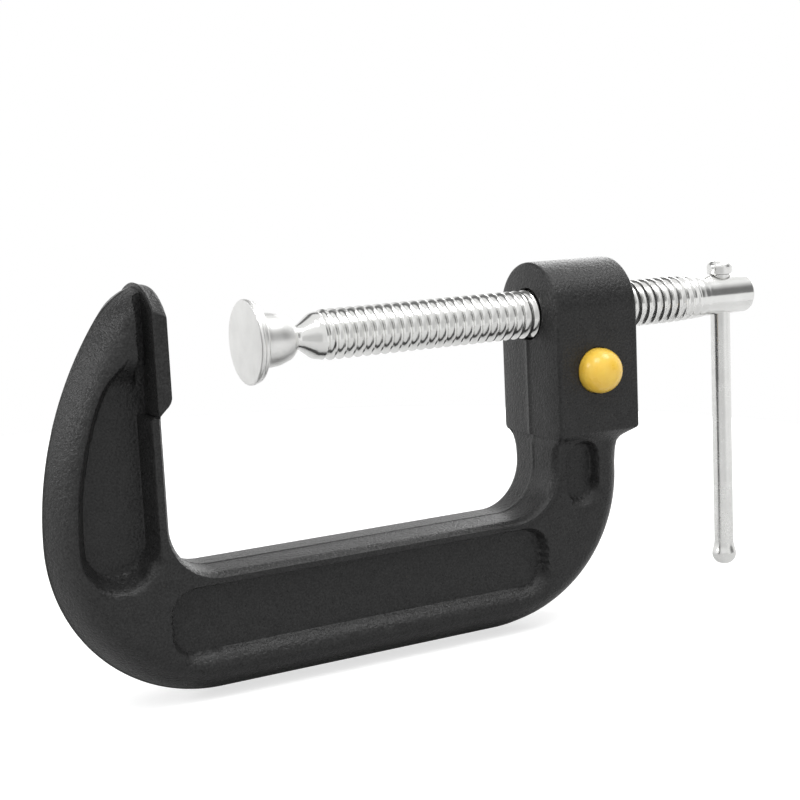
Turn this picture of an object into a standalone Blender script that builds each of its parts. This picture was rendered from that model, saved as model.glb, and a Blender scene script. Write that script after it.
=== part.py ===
"""Quick-release C clamp with a 100 mm jaw opening, in metres, +Z up.

The origin is the centre of the anvil face, on the spindle's axis. +X runs along the spindle to its
handle, +Y is the side away from the button, and the spine of the frame is below the spindle.
"""

import math

import bmesh
import bpy
from mathutils import Vector

MM = 0.001
GAP = 0.3 * MM                 # clearance between pieces that touch

# Frame casting: an inner and an outer outline in the XZ plane, and its half thickness in Y
JAW_FACE_X = -1.2 * MM         # inner edge of the anvil jaw
ARM_FACE_X = 115.0 * MM        # inner edge of the rear arm
THROAT_Z = -57.1 * MM          # inner edge of the spine
INNER_CORNER_R = 13.0 * MM
SPINE_BOTTOM_Z = -91.3 * MM
JAW_BACK_R = 96.8 * MM        # the long curve of the jaw's back
JAW_BACK_CENTRE = (65.1 * MM, -46.1 * MM)
FRONT_CORNER_R = 45.0 * MM
REAR_CORNER_R = 43.5 * MM
ARM_BACK_X = 142.9 * MM
HALF_THICKNESS = 11.1 * MM
RIM_WIDTH = 9.0 * MM           # how far in the outer edge starts to round over
RIM_CREST = 4.0 * MM           # control point of that rounding, from the parting line
EDGE_BEVEL = 1.2 * MM
EDGE_DRAFT = 0.5 * MM          # inner edge's slope between the parting line and its bevel
TIP_R = 17.8 * MM              # the jaw's tip keeps inside this circle about the spindle

# Anvil: a plate on the jaw, round at the top
ANVIL_THICKNESS = 3.8 * MM
ANVIL_HALF_WIDTH = 14.0 * MM
ANVIL_TOP_R = 18.3 * MM
ANVIL_BOTTOM_Z = -12.0 * MM
ANVIL_TOP_CHAMFER = 1.2 * MM

# Boss on the rear arm
BOSS_FRONT_X = 114.3 * MM
BOSS_BACK_X = 143.3 * MM
BOSS_R = 14.9 * MM             # half its width, and the radius of its top
BOSS_BOTTOM_Z = -34.6 * MM
BOSS_EDGE = 0.8 * MM
BOSS_DRAFT = 0.06              # slope of its front face, away from the parting line

# Pockets in both sides of the casting
JAW_POCKET_FLOOR_Y = 3.8 * MM
SIDE_POCKET_FLOOR_Y = 7.8 * MM
JAW_POCKET_BACK = 7.6 * MM     # from the jaw's outer edge
JAW_POCKET_FRONT_X = -5.8 * MM
JAW_POCKET_END_Z = -48.0 * MM
SPINE_POCKET = ((-2.8 * MM, -79.0 * MM), (111.9 * MM, -60.9 * MM))
SPINE_POCKET_R = 7.0 * MM
ARM_POCKET = ((119.8 * MM, -55.3 * MM), (130.5 * MM, -37.6 * MM))
ARM_POCKET_R = 5.3 * MM

# Spindle: ball, neck, cone, thread, plain tail
PITCH = 2.83 * MM
THREAD_R = 7.0 * MM
ROOT_R = 5.7 * MM
CREST_WIDTH = 0.7 * MM
FLANK_WIDTH = 0.55 * MM
THREAD_START_X = 46.9 * MM
THREAD_END_X = 177.6 * MM
THREAD_FADE = 12.0 * MM        # run-out at the tail
THREAD_LEAD_IN = 2.0 * MM
THREAD_PHASE = 0.5             # turns, a whole number of THREAD_SIDES
TAIL_R = 6.05 * MM
SPINDLE_END_X = 196.3 * MM
TAIL_CHAMFER = 0.7 * MM
NECK_R = 3.3 * MM
CONE_START_X = 41.6 * MM
BALL_R = 4.3 * MM
BALL_X = 35.7 * MM

# Swivel pad
PAD_FACE_X = 26.1 * MM
PAD_R = 11.5 * MM
PAD_RIM = 3.0 * MM
PAD_EDGE = 0.7 * MM
COLLAR_ROOT_R = 7.6 * MM
COLLAR_R = 5.9 * MM
PAD_END_X = 39.8 * MM
SOCKET_R = BALL_R + GAP
SOCKET_MOUTH_R = 4.0 * MM

# Sliding handle
HANDLE_X = 187.0 * MM
HANDLE_R = 3.0 * MM
HANDLE_HOLE_R = HANDLE_R + GAP
HANDLE_HEAD_R = 3.9 * MM
HANDLE_BOTTOM_Z = -86.0 * MM
HANDLE_TOP_Z = 10.8 * MM
HANDLE_HEAD_LENGTH = 6.0 * MM

# Quick release, on an axis along Y through the boss
RELEASE_X = (BOSS_FRONT_X + BOSS_BACK_X) / 2
RELEASE_Z = -16.6 * MM
PLUNGER_R = 11.5 * MM
PLUNGER_FRONT_Y = -11.5 * MM
PLUNGER_BACK_Y = 6.4 * MM
PLUNGER_EDGE = 0.5 * MM
PLUNGER_STROKE = 5.0 * MM
RELEASE_WALL_Y = PLUNGER_FRONT_Y - GAP
STUB_R = 3.2 * MM
STUB_LENGTH = 6.0 * MM
BUTTON_R = 6.5 * MM
BUTTON_DOME = 3.8 * MM
BUTTON_FRONT_Y = -22.0 * MM
SPRING_POCKET_R = 5.2 * MM
SPRING_POCKET_Y = -6.0 * MM
SPRING_R = 4.0 * MM            # to the middle of the wire
SPRING_WIRE_R = 0.5 * MM
SPRING_COILS = 7
PLUG_THICKNESS = 2.8 * MM
PLUG_BACK_Y = 14.7 * MM
PLUG_SLOT_WIDTH = 1.6 * MM
PLUG_SLOT_DEPTH = 1.3 * MM

ROUND = 32                     # sides of a turned piece
THREAD_SIDES = 16


def clear_scene():
    for old in list(bpy.data.objects):
        bpy.data.objects.remove(old)


def finish(name, colour, roughness, metallic):
    """A plain Principled material."""
    material = bpy.data.materials.new(name)
    material.use_nodes = True
    shader = material.node_tree.nodes["Principled BSDF"]
    shader.inputs["Base Color"].default_value = (*colour, 1.0)
    shader.inputs["Roughness"].default_value = roughness
    shader.inputs["Metallic"].default_value = metallic
    return material


def add_object(name, bm, material=None, location=(0, 0, 0), parent=None):
    """Turns a bmesh into an object, cleaned, facing outwards and smooth where it is round."""
    bmesh.ops.remove_doubles(bm, verts=bm.verts, dist=1e-7)
    bmesh.ops.dissolve_degenerate(bm, edges=bm.edges, dist=1e-7)
    bmesh.ops.recalc_face_normals(bm, faces=bm.faces)
    mesh = bpy.data.meshes.new(name)
    bm.to_mesh(mesh)
    bm.free()
    mesh.shade_smooth()
    mesh.set_sharp_from_angle(angle=math.radians(35))
    if material:
        mesh.materials.append(material)
    obj = bpy.data.objects.new(name, mesh)
    bpy.context.scene.collection.objects.link(obj)
    obj.parent = parent
    obj.location = location
    return obj


def add_cutter(name, bm):
    """A hidden object for a Boolean modifier."""
    cutter = add_object(name, bm)
    cutter.hide_render = True
    cutter.display_type = "WIRE"
    return cutter


def combine(obj, other, operation, solver="MANIFOLD"):
    boolean = obj.modifiers.new(other.name, "BOOLEAN")
    boolean.object = other
    boolean.operation = operation
    boolean.solver = solver


def join_rings(bm, rings):
    """Walls between rings of equal count, and a flat cap on the first and the last."""
    rows = [[bm.verts.new(point) for point in ring] for ring in rings]
    count = len(rows[0])
    for row, following in zip(rows, rows[1:]):
        for i in range(count):
            j = (i + 1) % count
            bm.faces.new((row[i], row[j], following[j], following[i]))
    bm.faces.new(reversed(rows[0]))
    bm.faces.new(rows[-1])


def circle_ring(axis, along, radius, centre=(0.0, 0.0), sides=ROUND):
    """A ring of points about an axis, at a distance along it. centre is in the two other axes."""
    ring = []
    for i in range(sides):
        angle = 2 * math.pi * i / sides
        across = centre[0] + radius * math.cos(angle)
        up = centre[1] + radius * math.sin(angle)
        if axis == "X":
            ring.append((along, across, up))
        elif axis == "Y":
            ring.append((across, along, up))
        else:
            ring.append((across, up, along))
    return ring


def turned(axis, profile, centre=(0.0, 0.0), sides=ROUND):
    """A turned solid from (distance along the axis, radius) pairs, with flat ends."""
    bm = bmesh.new()
    join_rings(bm, [circle_ring(axis, along, radius, centre, sides) for along, radius in profile])
    return bm


def prism(outline, axis, low, high, bm=None):
    """An outline in the plane across an axis, extruded along it."""
    bm = bm or bmesh.new()
    rings = []
    for level in (low, high):
        if axis == "Y":
            rings.append([(a, level, b) for a, b in outline])
        else:
            rings.append([(level, a, b) for a, b in outline])
    join_rings(bm, rings)
    return bm


def arc(centre, radius, start, end, steps):
    """Points of an arc, in degrees counterclockwise from the first axis."""
    points = []
    for i in range(steps + 1):
        angle = math.radians(start + (end - start) * i / steps)
        points.append((centre[0] + radius * math.cos(angle), centre[1] + radius * math.sin(angle)))
    return points


def spread(start, end, steps):
    """Evenly spaced points on a straight line."""
    a = Vector(start)
    b = Vector(end)
    return [tuple(a.lerp(b, i / steps)) for i in range(steps + 1)]


def rounded_box(low, high, radius, steps=6):
    """The outline of a rectangle with round corners."""
    x0, x1 = low[0] + radius, high[0] - radius
    z0, z1 = low[1] + radius, high[1] - radius
    outline = arc((x1, z0), radius, 270, 360, steps)
    outline += arc((x1, z1), radius, 0, 90, steps)
    outline += arc((x0, z1), radius, 90, 180, steps)
    outline += arc((x0, z0), radius, 180, 270, steps)
    return outline


# The frame

def jaw_back(z):
    """X of the jaw's back at a height."""
    x, centre_z = JAW_BACK_CENTRE
    return x - math.sqrt(JAW_BACK_R ** 2 - (z - centre_z) ** 2)


def frame_stations():
    """Pairs of points on the inner and the outer outline, from the tip to inside the boss."""
    tip_z = TIP_R - 0.4 * MM
    corner_z = THROAT_Z + INNER_CORNER_R
    inner = []
    outer = []
    jaw_steps = 14
    for i in range(jaw_steps):
        share = i / jaw_steps
        inner.append((JAW_FACE_X, tip_z + (corner_z - tip_z) * share))
        z = tip_z + (JAW_BACK_CENTRE[1] - tip_z) * share
        outer.append((jaw_back(z), z))
    corner_x = JAW_FACE_X + INNER_CORNER_R
    inner += arc((corner_x, corner_z), INNER_CORNER_R, 180, 270, 8)
    front_x = jaw_back(JAW_BACK_CENTRE[1]) + FRONT_CORNER_R
    outer += arc((front_x, SPINE_BOTTOM_Z + FRONT_CORNER_R), FRONT_CORNER_R, 180, 270, 8)
    rear_inner_x = ARM_FACE_X - INNER_CORNER_R
    rear_outer_x = ARM_BACK_X - REAR_CORNER_R
    inner += spread((corner_x, THROAT_Z), (rear_inner_x, THROAT_Z), 4)[1:-1]
    outer += spread((front_x, SPINE_BOTTOM_Z), (rear_outer_x, SPINE_BOTTOM_Z), 4)[1:-1]
    inner += arc((rear_inner_x, corner_z), INNER_CORNER_R, 270, 360, 8)
    outer += arc((rear_outer_x, SPINE_BOTTOM_Z + REAR_CORNER_R), REAR_CORNER_R, 270, 360, 8)
    end_z = BOSS_BOTTOM_Z + 2 * MM
    inner.append((ARM_FACE_X, end_z))
    outer.append((ARM_BACK_X, end_z))
    return list(zip(inner, outer))


def frame_section(inner, outer):
    """A ring round the casting: flat sides, a bevelled inner edge and a rounded outer edge."""
    inner = Vector(inner)
    outer = Vector(outer)
    depth = (outer - inner).length
    height = max(inner.y, outer.y)
    half = HALF_THICKNESS
    if height > 0:
        half = min(half, math.sqrt(TIP_R ** 2 - height ** 2))
    rim = min(RIM_WIDTH, 0.6 * depth)
    crest = RIM_CREST * rim / RIM_WIDTH
    side = [(EDGE_DRAFT, half - EDGE_BEVEL), (EDGE_DRAFT + EDGE_BEVEL, half)]
    rim_steps = 5
    for i in range(rim_steps):
        t = i / rim_steps
        along = depth - rim * (1 - t) ** 2 - crest * 2 * t * (1 - t)
        side.append((along, half * (1 - t ** 2)))
    profile = [(0.0, 0.0)] + side + [(depth, 0.0)] + [(a, -y) for a, y in reversed(side)]
    ring = []
    for along, y in profile:
        place = inner.lerp(outer, along / depth)
        ring.append((place.x, y, place.y))
    return ring


def anvil_plate():
    """The anvil: a plate across the jaw, round at the top, sloped back to the jaw at the bottom."""
    reach = math.degrees(math.acos(ANVIL_HALF_WIDTH / ANVIL_TOP_R))
    rings = []
    back_z = ANVIL_BOTTOM_Z - 0.85 * ANVIL_THICKNESS
    for x, radius, bottom in ((-ANVIL_THICKNESS, ANVIL_TOP_R, back_z),
                              (0.0, ANVIL_TOP_R - ANVIL_TOP_CHAMFER, ANVIL_BOTTOM_Z)):
        outline = arc((0.0, 0.0), radius, reach, 180 - reach, 12)
        half = outline[0][0]
        outline += [(-half, bottom), (half, bottom)]
        rings.append([(x, y, z) for y, z in outline])
    bm = bmesh.new()
    join_rings(bm, rings)
    return bm


def boss_block():
    """The boss: straight sides, a round top about the spindle, and a slope down to the arm."""
    outline = arc((0.0, 0.0), BOSS_R, 0, 180, 20)
    slope = BOSS_R - HALF_THICKNESS
    foot = BOSS_BOTTOM_Z - 0.8 * slope
    outline += [(-BOSS_R, BOSS_BOTTOM_Z), (-HALF_THICKNESS, foot)]
    outline += [(HALF_THICKNESS, foot), (BOSS_R, BOSS_BOTTOM_Z)]
    bm = bmesh.new()
    rings = []
    levels = ((BOSS_FRONT_X, BOSS_EDGE), (BOSS_FRONT_X + BOSS_EDGE, 0.0),
              (BOSS_BACK_X - BOSS_EDGE, 0.0), (BOSS_BACK_X, BOSS_EDGE))
    for x, inset in levels:
        scale = 1 - inset / BOSS_R
        draft = BOSS_DRAFT if x < RELEASE_X else 0.0
        rings.append([(x + draft * abs(y), y * scale, z * scale if z > 0 else z)
                      for y, z in outline])
    join_rings(bm, rings)
    return bm


def jaw_pocket_outline():
    """A leaf: straight by the anvil, round at the foot, along the jaw's back on the other side."""
    centre_x, centre_z = JAW_BACK_CENTRE
    radius = JAW_BACK_R - JAW_POCKET_BACK
    end = math.degrees(math.asin((JAW_POCKET_END_Z - centre_z) / radius))
    start = math.degrees(math.acos((centre_x - JAW_POCKET_FRONT_X) / radius))
    back = arc((centre_x, centre_z), radius, 180 - start, 180 - end, 10)
    foot_r = (JAW_POCKET_FRONT_X - back[-1][0]) / 2
    foot = arc((JAW_POCKET_FRONT_X - foot_r, JAW_POCKET_END_Z), foot_r, 180, 360, 12)
    return back + foot[1:]


def side_pockets(outline, floor):
    """The same pocket from both sides of the casting."""
    outside = BOSS_R + 5 * MM
    bm = prism(outline, "Y", -outside, -floor)
    return prism(outline, "Y", floor, outside, bm)


def make_frame(material):
    bm = bmesh.new()
    join_rings(bm, [frame_section(a, b) for a, b in frame_stations()])
    frame = add_object("c_frame", bm, material)
    combine(frame, add_cutter("anvil_plate", anvil_plate()), "UNION")
    combine(frame, add_cutter("boss_block", boss_block()), "UNION")
    jaw = side_pockets(jaw_pocket_outline(), JAW_POCKET_FLOOR_Y)
    combine(frame, add_cutter("jaw_pockets", jaw), "DIFFERENCE")
    spine = side_pockets(rounded_box(*SPINE_POCKET, SPINE_POCKET_R), SIDE_POCKET_FLOOR_Y)
    combine(frame, add_cutter("spine_pockets", spine), "DIFFERENCE")
    arm = side_pockets(rounded_box(*ARM_POCKET, ARM_POCKET_R), SIDE_POCKET_FLOOR_Y)
    combine(frame, add_cutter("arm_pockets", arm), "DIFFERENCE")
    bore_r = THREAD_R + GAP
    bore = [(BOSS_FRONT_X - 5 * MM, bore_r), (BOSS_BACK_X + 5 * MM, bore_r)]
    combine(frame, add_cutter("spindle_bore", turned("X", bore)), "DIFFERENCE")
    outside = BOSS_R + 5 * MM
    release = [(-outside, BUTTON_R + GAP), (RELEASE_WALL_Y, BUTTON_R + GAP),
               (RELEASE_WALL_Y, PLUNGER_R + GAP), (outside, PLUNGER_R + GAP)]
    centre = (RELEASE_X, RELEASE_Z)
    combine(frame, add_cutter("release_bore", turned("Y", release, centre, 48)), "DIFFERENCE")
    return frame


# The spindle and what is on it

def thread_rows(start, end, low_r, high_r, crest, sides, blend_start, blend_end):
    """Rings of a right-hand thread on a grid whose columns follow the helix.

    Columns past either end collapse onto it. There the radius blends to the plain radius, over
    the blend lengths, so the thread fades out.
    """
    root = (low_r + high_r) / 2
    flank = FLANK_WIDTH
    profile = ((0.0, high_r), (crest, high_r), (crest + flank, low_r), (PITCH - flank, low_r))
    turns = math.ceil((end - start) / PITCH) + 2
    first = start - PITCH

    def point(column, i):
        if i == sides:
            column += len(profile)
            i = 0
        turn, step = divmod(column, len(profile))
        offset, radius = profile[step]
        angle = i / sides
        x = first + (turn + angle) * PITCH + offset
        x = min(max(x, start), end)
        amount = min(1.0, (x - start) / blend_start, (end - x) / blend_end)
        radius = root + (radius - root) * amount
        turned_by = 2 * math.pi * (angle - THREAD_PHASE)
        return (x, radius * math.cos(turned_by), radius * math.sin(turned_by))

    columns = turns * len(profile)
    return [[point(c, i) for i in range(sides + 1)] for c in range(columns)], root


def threaded_bar(front, start, end, back, low_r, high_r, crest, sides, blends):
    """A thread between two turned profiles of (x, radius), joined ring to ring."""
    bm = bmesh.new()
    rows, root = thread_rows(start, end, low_r, high_r, crest, sides, *blends)
    grid = [[bm.verts.new(point) for point in row] for row in rows]
    for row, following in zip(grid, grid[1:]):
        for i in range(sides):
            corners = (row[i], row[i + 1], following[i + 1], following[i])
            bm.faces.new(corners)
    for plain, meeting in ((front, start), (list(reversed(back)), end)):
        rings = [circle_ring("X", x, radius, sides=sides) for x, radius in plain]
        rings.append(circle_ring("X", meeting, root, sides=sides))
        made = [[bm.verts.new(point) for point in ring] for ring in rings]
        for row, following in zip(made, made[1:]):
            for i in range(sides):
                j = (i + 1) % sides
                bm.faces.new((row[i], row[j], following[j], following[i]))
        bm.faces.new(made[0])
    return bm


def make_spindle(material, pad):
    ball = []
    steps = 8
    cut = math.degrees(math.asin(NECK_R / BALL_R))
    for i in range(steps + 1):
        angle = math.radians(170 - (170 - cut) * i / steps)
        ball.append((BALL_X + BALL_R * math.cos(angle), BALL_R * math.sin(angle)))
    shoulder_r = (ROOT_R + THREAD_R) / 2
    front = ball + [(CONE_START_X, NECK_R), (THREAD_START_X - 0.4 * MM, shoulder_r)]
    back = [(THREAD_END_X + 0.5 * MM, TAIL_R), (SPINDLE_END_X - TAIL_CHAMFER, TAIL_R),
            (SPINDLE_END_X, TAIL_R - TAIL_CHAMFER)]
    blends = (THREAD_LEAD_IN, THREAD_FADE)
    bm = threaded_bar(front, THREAD_START_X, THREAD_END_X, back, ROOT_R, THREAD_R, CREST_WIDTH,
                      THREAD_SIDES, blends)
    spindle = add_object("spindle", bm, material, parent=pad)
    hole = [(-2 * TAIL_R, HANDLE_HOLE_R), (2 * TAIL_R, HANDLE_HOLE_R)]
    cutter = add_cutter("handle_hole", turned("Z", hole, (HANDLE_X, 0.0), 24))
    combine(spindle, cutter, "DIFFERENCE")
    return spindle


def make_pad(material):
    collar_x = PAD_FACE_X + PAD_RIM
    outside = [(PAD_FACE_X, PAD_R - PAD_EDGE), (PAD_FACE_X + PAD_EDGE, PAD_R),
               (collar_x - PAD_EDGE, PAD_R), (collar_x, PAD_R - PAD_EDGE),
               (collar_x + 0.6 * MM, COLLAR_ROOT_R), (PAD_END_X - 1.4 * MM, COLLAR_R),
               (PAD_END_X - 0.4 * MM, COLLAR_R - 0.5 * MM), (PAD_END_X, SOCKET_MOUTH_R + 0.4 * MM),
               (PAD_END_X - 0.3 * MM, SOCKET_MOUTH_R)]
    mouth = math.degrees(math.asin(SOCKET_MOUTH_R / SOCKET_R))
    socket = []
    steps = 8
    for i in range(steps + 1):
        angle = math.radians(mouth + (170 - mouth) * i / steps)
        socket.append((BALL_X + SOCKET_R * math.cos(angle), SOCKET_R * math.sin(angle)))
    return add_object("swivel_pad", turned("X", outside + socket), material)


def make_handle(material, spindle):
    head = HANDLE_HEAD_R
    edge = 1.0 * MM
    upper = TAIL_R + GAP
    profile = [(HANDLE_BOTTOM_Z, head - edge), (HANDLE_BOTTOM_Z + edge, head),
               (HANDLE_BOTTOM_Z + HANDLE_HEAD_LENGTH - edge, head),
               (HANDLE_BOTTOM_Z + HANDLE_HEAD_LENGTH, HANDLE_R),
               (upper, HANDLE_R), (upper, head), (HANDLE_TOP_Z - edge, head),
               (HANDLE_TOP_Z, head - edge)]
    bar = turned("Z", profile, sides=20)
    return add_object("handle_bar", bar, material, (HANDLE_X, 0, 0), spindle)


# The quick release: pieces on the button's axis, with that axis as their origin

def release_relief():
    """Where the spindle passes the plunger's smooth half while the button is pressed."""
    radius = THREAD_R + GAP
    half_length = PLUNGER_R + 2 * MM
    outline = arc((-PLUNGER_STROKE - GAP, -RELEASE_Z), radius, 90, 270, 16)
    outline += [(0.0, -RELEASE_Z - radius), (0.0, -RELEASE_Z + radius)]
    return prism(outline, "X", -half_length, half_length)


def make_plunger(material):
    location = (RELEASE_X, 0.0, RELEASE_Z)
    edge = PLUNGER_EDGE
    profile = [(PLUNGER_FRONT_Y - STUB_LENGTH, STUB_R), (PLUNGER_FRONT_Y, STUB_R),
               (PLUNGER_FRONT_Y, PLUNGER_R - edge), (PLUNGER_FRONT_Y + edge, PLUNGER_R),
               (PLUNGER_BACK_Y - edge, PLUNGER_R), (PLUNGER_BACK_Y, PLUNGER_R - edge),
               (PLUNGER_BACK_Y, SPRING_POCKET_R), (SPRING_POCKET_Y, SPRING_POCKET_R)]
    plunger = add_object("locking_plunger", turned("Y", profile, sides=48), material, location)
    reach = PLUNGER_R + 4 * MM
    turns = round((RELEASE_X - reach - THREAD_START_X) / PITCH)
    start = THREAD_START_X + turns * PITCH
    thread = threaded_bar([(start - 1 * MM, THREAD_R)], start, start + 2 * reach,
                          [(start + 2 * reach + 1 * MM, THREAD_R)], ROOT_R + GAP, THREAD_R + GAP,
                          CREST_WIDTH + GAP, 32, (1 * MM, 1 * MM))
    combine(plunger, add_cutter("half_thread", thread), "DIFFERENCE")
    relief = add_cutter("release_relief", release_relief())
    relief.location = location
    combine(plunger, relief, "DIFFERENCE")
    return plunger


def make_button(material, plunger):
    """A domed cap with a blind hole for the plunger's stub."""
    base_y = PLUNGER_FRONT_Y - GAP
    rim_y = BUTTON_FRONT_Y + BUTTON_DOME
    profile = [(base_y, STUB_R + GAP), (base_y, BUTTON_R), (rim_y, BUTTON_R)]
    steps = 7
    for i in range(1, steps):
        angle = math.pi / 2 * i / steps
        profile.append((rim_y - BUTTON_DOME * math.sin(angle), BUTTON_R * math.cos(angle)))
    profile.append((BUTTON_FRONT_Y, 0.6 * MM))
    hole = [(PLUNGER_FRONT_Y - STUB_LENGTH - GAP, STUB_R + GAP)]
    return add_object("release_button", turned("Y", hole + profile), material, parent=plunger)


def make_spring(material):
    start = SPRING_POCKET_Y + GAP + SPRING_WIRE_R
    end = PLUG_BACK_Y - PLUG_THICKNESS - GAP - SPRING_WIRE_R
    per_turn = 14
    count = SPRING_COILS * per_turn
    curve = bpy.data.curves.new("return_spring", "CURVE")
    curve.dimensions = "3D"
    curve.bevel_depth = SPRING_WIRE_R
    curve.bevel_resolution = 1
    curve.use_fill_caps = True
    curve.fill_mode = "FULL"
    spline = curve.splines.new("POLY")
    spline.points.add(count)
    for i, point in enumerate(spline.points):
        angle = 2 * math.pi * i / per_turn
        y = start + (end - start) * i / count
        point.co = (SPRING_R * math.cos(angle), y, SPRING_R * math.sin(angle), 1.0)
    curve.materials.append(material)
    spring = bpy.data.objects.new("return_spring", curve)
    spring.location = (RELEASE_X, 0.0, RELEASE_Z)
    bpy.context.scene.collection.objects.link(spring)


def make_plug(material):
    """A disc with a screwdriver slot across its outer face."""
    profile = [(PLUG_BACK_Y - PLUG_THICKNESS, PLUNGER_R), (PLUG_BACK_Y, PLUNGER_R)]
    location = (RELEASE_X, 0.0, RELEASE_Z)
    plug = add_object("bore_plug", turned("Y", profile, sides=48), material, location)
    half_width = PLUG_SLOT_WIDTH / 2
    half_length = 0.7 * PLUNGER_R
    outline = [(-half_length, -half_width), (half_length, -half_width),
               (half_length, half_width), (-half_length, half_width)]
    slot = prism(outline, "Y", PLUG_BACK_Y - PLUG_SLOT_DEPTH, PLUG_BACK_Y + 1 * MM)
    cutter = add_cutter("plug_slot", slot)
    cutter.location = location
    combine(plug, cutter, "DIFFERENCE")


def main():
    clear_scene()
    enamel = finish("black_enamel", (0.022, 0.022, 0.023), 0.42, 0.0)
    plated = finish("bright_plating", (0.80, 0.80, 0.79), 0.22, 1.0)
    yellow = finish("yellow_plastic", (0.83, 0.50, 0.06), 0.30, 0.0)
    steel = finish("oiled_steel", (0.42, 0.42, 0.43), 0.38, 1.0)
    make_frame(enamel)
    pad = make_pad(plated)
    spindle = make_spindle(plated, pad)
    make_handle(plated, spindle)
    plunger = make_plunger(steel)
    make_button(yellow, plunger)
    make_spring(steel)
    make_plug(steel)


main()
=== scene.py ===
"""Looks for the quick-release C clamp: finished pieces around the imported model.

Sizes here are in millimetres, as the pattern maker would give them, and each mesh is brought to
metres when its object is made. +X runs along the spindle, the button is on the -Y side, and the
spine is below the spindle's axis.
"""

import math

import bmesh
import bpy
import numpy as np
from mathutils import Matrix, Vector


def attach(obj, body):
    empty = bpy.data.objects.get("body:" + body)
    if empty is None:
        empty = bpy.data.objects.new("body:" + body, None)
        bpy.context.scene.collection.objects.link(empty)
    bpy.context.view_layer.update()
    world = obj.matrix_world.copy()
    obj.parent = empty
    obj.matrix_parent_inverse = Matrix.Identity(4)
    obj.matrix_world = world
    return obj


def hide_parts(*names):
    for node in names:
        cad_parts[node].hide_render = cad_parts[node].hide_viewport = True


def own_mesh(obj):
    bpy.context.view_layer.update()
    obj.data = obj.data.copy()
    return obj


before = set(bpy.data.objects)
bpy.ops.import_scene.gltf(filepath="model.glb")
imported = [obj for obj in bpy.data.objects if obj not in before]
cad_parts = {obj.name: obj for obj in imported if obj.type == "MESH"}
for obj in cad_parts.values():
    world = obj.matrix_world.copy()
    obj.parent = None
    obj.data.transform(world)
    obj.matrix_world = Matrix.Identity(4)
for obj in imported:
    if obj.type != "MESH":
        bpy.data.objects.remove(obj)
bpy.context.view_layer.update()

MM = 0.001


def smoothstep(low, high, value):
    t = np.clip((value - low) / (high - low), 0.0, 1.0)
    return t * t * (3 - 2 * t)


def smooth_min(a, b, width):
    """The smaller of two, with a rounded change from one to the other."""
    share = np.clip(0.5 + 0.5 * (b - a) / width, 0.0, 1.0)
    return b * (1 - share) + a * share - width * share * (1 - share)


def smooth_max(a, b, width):
    return -smooth_min(-a, -b, width)


# ---------------------------------------------------------------------------------- node trees

class Value:
    """A socket that writes Math nodes when it is used in a Python expression."""

    def __init__(self, tree, socket):
        self.tree = tree
        self.socket = socket

    def _math(self, operation, *values):
        return self.tree.add("ShaderNodeMath", {"operation": operation}, numbered=values)

    def __add__(self, other):
        return self._math("ADD", self, other)

    __radd__ = __add__

    def __sub__(self, other):
        return self._math("SUBTRACT", self, other)

    def __rsub__(self, other):
        return self._math("SUBTRACT", other, self)

    def __mul__(self, other):
        return self._math("MULTIPLY", self, other)

    def __truediv__(self, other):
        return self._math("DIVIDE", self, other)

    def __pow__(self, other):
        return self._math("POWER", self, other)

    def floor(self):
        return self._math("FLOOR", self)

    def fraction(self):
        return self._math("FRACT", self)

    def absolute(self):
        return self._math("ABSOLUTE", self)

    def sine(self):
        return self._math("SINE", self)

    def cosine(self):
        return self._math("COSINE", self)

    def at_least(self, other):
        return self._math("MAXIMUM", self, other)

    def at_most(self, other):
        return self._math("MINIMUM", self, other)

    def step(self, low, high):
        """0 below low, 1 above high, smooth between them."""
        return self.tree.add("ShaderNodeMapRange", {"interpolation_type": "SMOOTHSTEP"},
                             out="Result", Value=self, From_Min=low, From_Max=high)


class Tree:
    """A node tree with one way to add any node."""

    def __init__(self, tree):
        self.tree = tree

    def give(self, slot, value):
        """Sets a socket to a value, or links it to one."""
        if isinstance(value, Value):
            self.tree.links.new(value.socket, slot)
        else:
            slot.default_value = value

    def add(self, kind, settings=None, out=0, numbered=(), **inputs):
        """A node of a kind: its settings first, then values or links for its inputs.

        Inputs go by name, or by number where a node's inputs share one. What comes back is the
        output asked for, or a list of them.
        """
        node = self.tree.nodes.new(kind)
        for name, value in (settings or {}).items():
            if name == "stops":
                ramp = node.color_ramp
                while len(ramp.elements) < len(value):
                    ramp.elements.new(0.5)
                for element, (place, colour) in zip(ramp.elements, value):
                    element.position = place
                    element.color = (*colour, 1.0)
            else:
                setattr(node, name, value)
        for number, value in enumerate(numbered):
            self.give(node.inputs[number], value)
        for name, value in inputs.items():
            self.give(node.inputs[name.replace("_", " ")], value)
        if isinstance(out, (int, str)):
            return Value(self, node.outputs[out])
        return [Value(self, node.outputs[name]) for name in out]


class Finish(Tree):
    """A Principled material."""

    def __init__(self, name, **constants):
        self.material = bpy.data.materials.new(name)
        self.material.use_nodes = True
        super().__init__(self.material.node_tree)
        self.shader = self.tree.nodes["Principled BSDF"]
        for slot, value in constants.items():
            self.give(self.shader.inputs[slot.replace("_", " ")], value)
        self.place = self.add("ShaderNodeTexCoord", out="Object")

    def noise(self, size, detail=2.0, roughness=0.5, place=None):
        """Noise with features of about this size in millimetres."""
        return self.add("ShaderNodeTexNoise", Vector=place or self.place,
                        Scale=1.0 / (size * MM), Detail=detail, Roughness=roughness)

    def stretched(self, factors):
        """Object coordinates, scaled along each axis."""
        return self.add("ShaderNodeMapping", Vector=self.place, Scale=factors)

    def drive(self, slot, value):
        self.give(self.shader.inputs[slot], value)

    def bump(self, *layers):
        """Layers of (height, depth in millimetres)."""
        normal = None
        for height, depth in layers:
            extra = {"Normal": normal} if normal else {}
            normal = self.add("ShaderNodeBump", Height=height, Distance=depth * MM,
                              Strength=1.0, **extra)
        self.drive("Normal", normal)


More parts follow.
